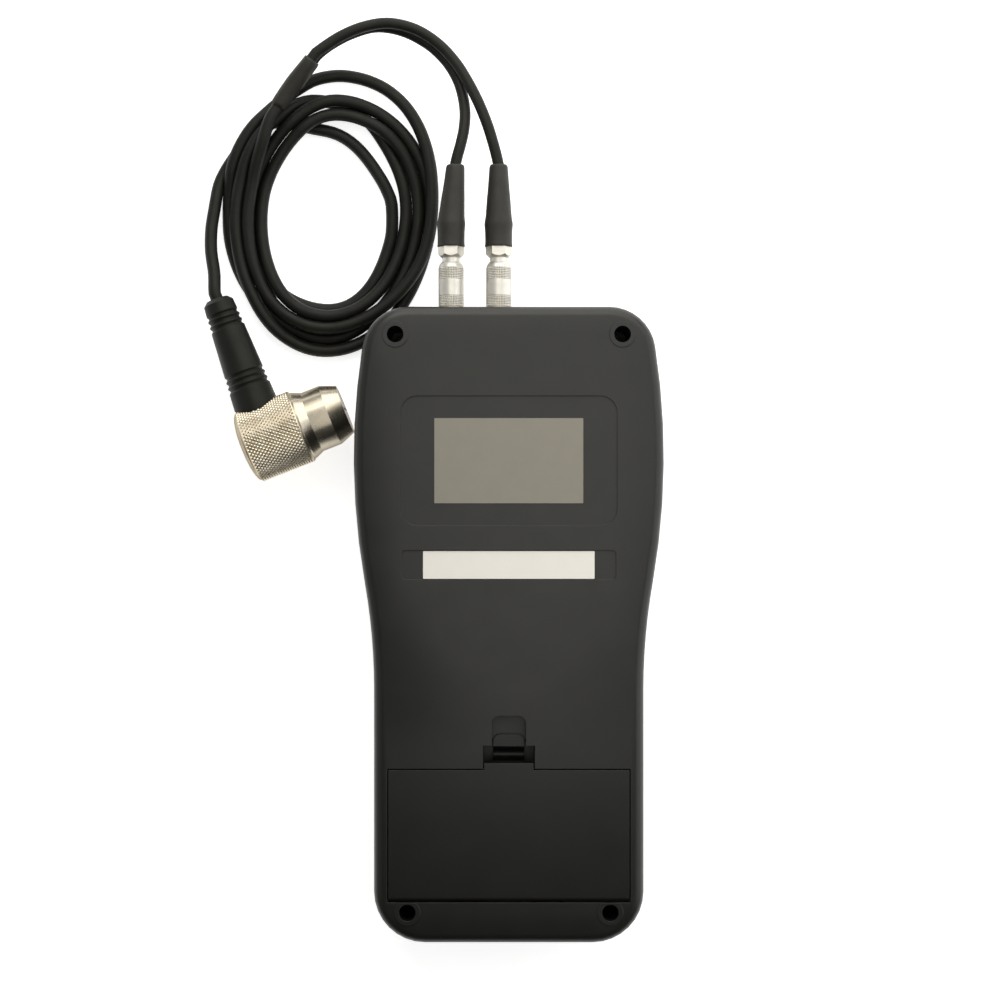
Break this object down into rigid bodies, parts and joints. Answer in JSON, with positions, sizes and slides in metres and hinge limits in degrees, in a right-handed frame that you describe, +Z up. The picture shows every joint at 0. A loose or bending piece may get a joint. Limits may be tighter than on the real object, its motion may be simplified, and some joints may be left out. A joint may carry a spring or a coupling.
{
  "type": "ultrasonic thickness gauge",
  "caption": "Handheld ultrasonic thickness gauge, face down, with waisted black housing, latched battery cover, display and keys underneath, and a right-angle dual probe on a coiled cable.",
  "frame": {"origin": "centre of the housing footprint, on the table under its front face", "axes": "+Z up, out of the back cover; +Y along the housing to the sockets; +X to the right seen from above"},
  "size_m": [0.1114, 0.2224, 0.0323],
  "materials": {
    "housing": "black moulded plastic with a fine spark texture",
    "steel": "bare steel",
    "nickel": "nickel plated brass",
    "probe_steel": "nickel plated, knurled body and polished nose",
    "window": "clear plastic window",
    "display": "grey-green liquid crystal glass, blank",
    "frame_plastic": "white plastic",
    "mat": "grey silicone rubber",
    "keys": "light grey plastic, bare",
    "power_key": "red plastic, bare",
    "board": "green circuit board",
    "cells": "bare copper-coloured sleeve",
    "rating_label": "grey-beige printed film, bare",
    "serial_label": "off-white printed film, bare",
    "boots": "black shrink sleeve and moulded rubber",
    "cable": "black cable jacket, slightly glossy",
    "elements": "brown wear face",
    "barrier": "dark cork barrier"
  },
  "bodies": {
    "gauge": {"front_cover": "housing", "back_cover": "housing", "housing_screws": "steel", "display_window": "window", "lcd_frame": "frame_plastic", "lcd_glass": "display", "keypad_mat": "mat", "circuit_board": "board", "board_screws": "steel", "battery_cell_1": "cells", "battery_cell_2": "cells", "battery_contacts": "steel", "battery_springs": "steel", "test_disc": "steel", "rating_label": "rating_label", "serial_label": "serial_label", "socket_1": "nickel", "socket_2": "nickel", "socket_nuts": "nickel", "plug_body_1": "nickel", "plug_body_2": "nickel", "collet_nut_1": "nickel", "collet_nut_2": "nickel", "plug_boot_1": "boots", "plug_boot_2": "boots", "lead_1": "cable", "lead_2": "cable", "split_sleeve": "boots", "cable_coil": "cable", "cable_tail": "cable", "probe_boot": "boots", "probe_body": "probe_steel", "probe_nose": "probe_steel", "probe_elements": "elements", "probe_barrier": "barrier"},
    "battery cover": {"battery_cover": "housing"},
    "key 1": {"key_1": "keys"},
    "key 2": {"key_2": "keys"},
    "key 3": {"key_3": "keys"},
    "key 4": {"key_4": "keys"},
    "key 5": {"key_5": "keys"},
    "key 6": {"key_6": "keys"},
    "key 7": {"key_7": "power_key"},
    "latch sleeve 1": {"latch_sleeve_1": "nickel"},
    "latch sleeve 2": {"latch_sleeve_2": "nickel"}
  },
  "joints": [
    {"name": "battery cover hinge", "type": "hinge", "parent": "gauge", "child": "battery cover", "pos_m": [0, -0.06398, 0.03107], "axis": [1, 0, 0], "range_deg": [0, 50]},
    {"name": "key 1 press", "type": "slide", "parent": "gauge", "child": "key 1", "axis": [0, 0, 1], "range_m": [0, 0.0008], "stiffness_N_per_m": 900, "springref_m": -0.0006},
    {"name": "key 2 press", "type": "slide", "parent": "gauge", "child": "key 2", "axis": [0, 0, 1], "range_m": [0, 0.0008], "stiffness_N_per_m": 900, "springref_m": -0.0006},
    {"name": "key 3 press", "type": "slide", "parent": "gauge", "child": "key 3", "axis": [0, 0, 1], "range_m": [0, 0.0008], "stiffness_N_per_m": 900, "springref_m": -0.0006},
    {"name": "key 4 press", "type": "slide", "parent": "gauge", "child": "key 4", "axis": [0, 0, 1], "range_m": [0, 0.0008], "stiffness_N_per_m": 900, "springref_m": -0.0006},
    {"name": "key 5 press", "type": "slide", "parent": "gauge", "child": "key 5", "axis": [0, 0, 1], "range_m": [0, 0.0008], "stiffness_N_per_m": 900, "springref_m": -0.0006},
    {"name": "key 6 press", "type": "slide", "parent": "gauge", "child": "key 6", "axis": [0, 0, 1], "range_m": [0, 0.0008], "stiffness_N_per_m": 900, "springref_m": -0.0006},
    {"name": "key 7 press", "type": "slide", "parent": "gauge", "child": "key 7", "axis": [0, 0, 1], "range_m": [0, 0.0008], "stiffness_N_per_m": 900, "springref_m": -0.0006},
    {"name": "latch sleeve 1 pull", "type": "slide", "parent": "gauge", "child": "latch sleeve 1", "axis": [0, 1, 0], "range_m": [0, 0.0008], "stiffness_N_per_m": 1200, "springref_m": -0.001},
    {"name": "latch sleeve 2 pull", "type": "slide", "parent": "gauge", "child": "latch sleeve 2", "axis": [0, 1, 0], "range_m": [0, 0.0008], "stiffness_N_per_m": 1200, "springref_m": -0.001}
  ]
}
